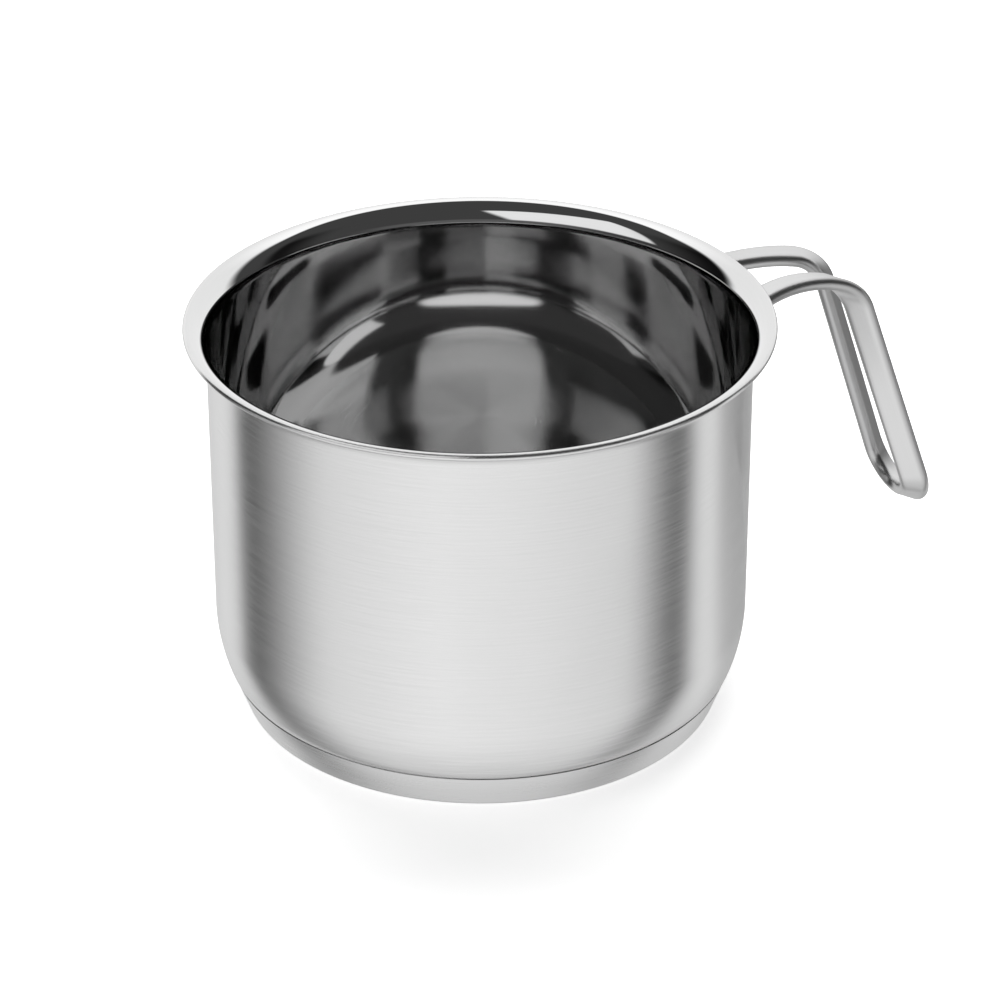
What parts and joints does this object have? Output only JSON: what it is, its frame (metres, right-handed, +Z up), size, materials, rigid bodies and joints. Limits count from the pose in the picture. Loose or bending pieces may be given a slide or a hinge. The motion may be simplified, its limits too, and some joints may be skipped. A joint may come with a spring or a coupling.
{
  "type": "milk pan",
  "caption": "Stainless steel milk pan with a straight deep wall, a flared and rolled pouring rim, an encapsulated base and a looped handle of bent flat oval bar welded under the rim",
  "frame": {"origin": "middle of the flat underside of the base, on the pot's axis", "axes": "+Z up along the pot's axis, +X towards the handle, +Y to the handle's left seen from the pot"},
  "size_m": [0.2115, 0.1532, 0.108],
  "materials": {
    "pot_steel": "satin brushed round the outside, polished inside, with a floor brushed in circles",
    "core_aluminium": "plain rolled aluminium, hidden inside the base",
    "cap_steel": "satin brushed round the side and in circles underneath",
    "handle_steel": "satin, brushed along the bar",
    "weld_steel": "dull weld fillet"
  },
  "bodies": {
    "root": {"pot_body": "pot_steel", "heat_core": "core_aluminium", "base_cap": "cap_steel", "handle": "handle_steel", "weld_left": "weld_steel", "weld_right": "weld_steel"}
  },
  "joints": []
}
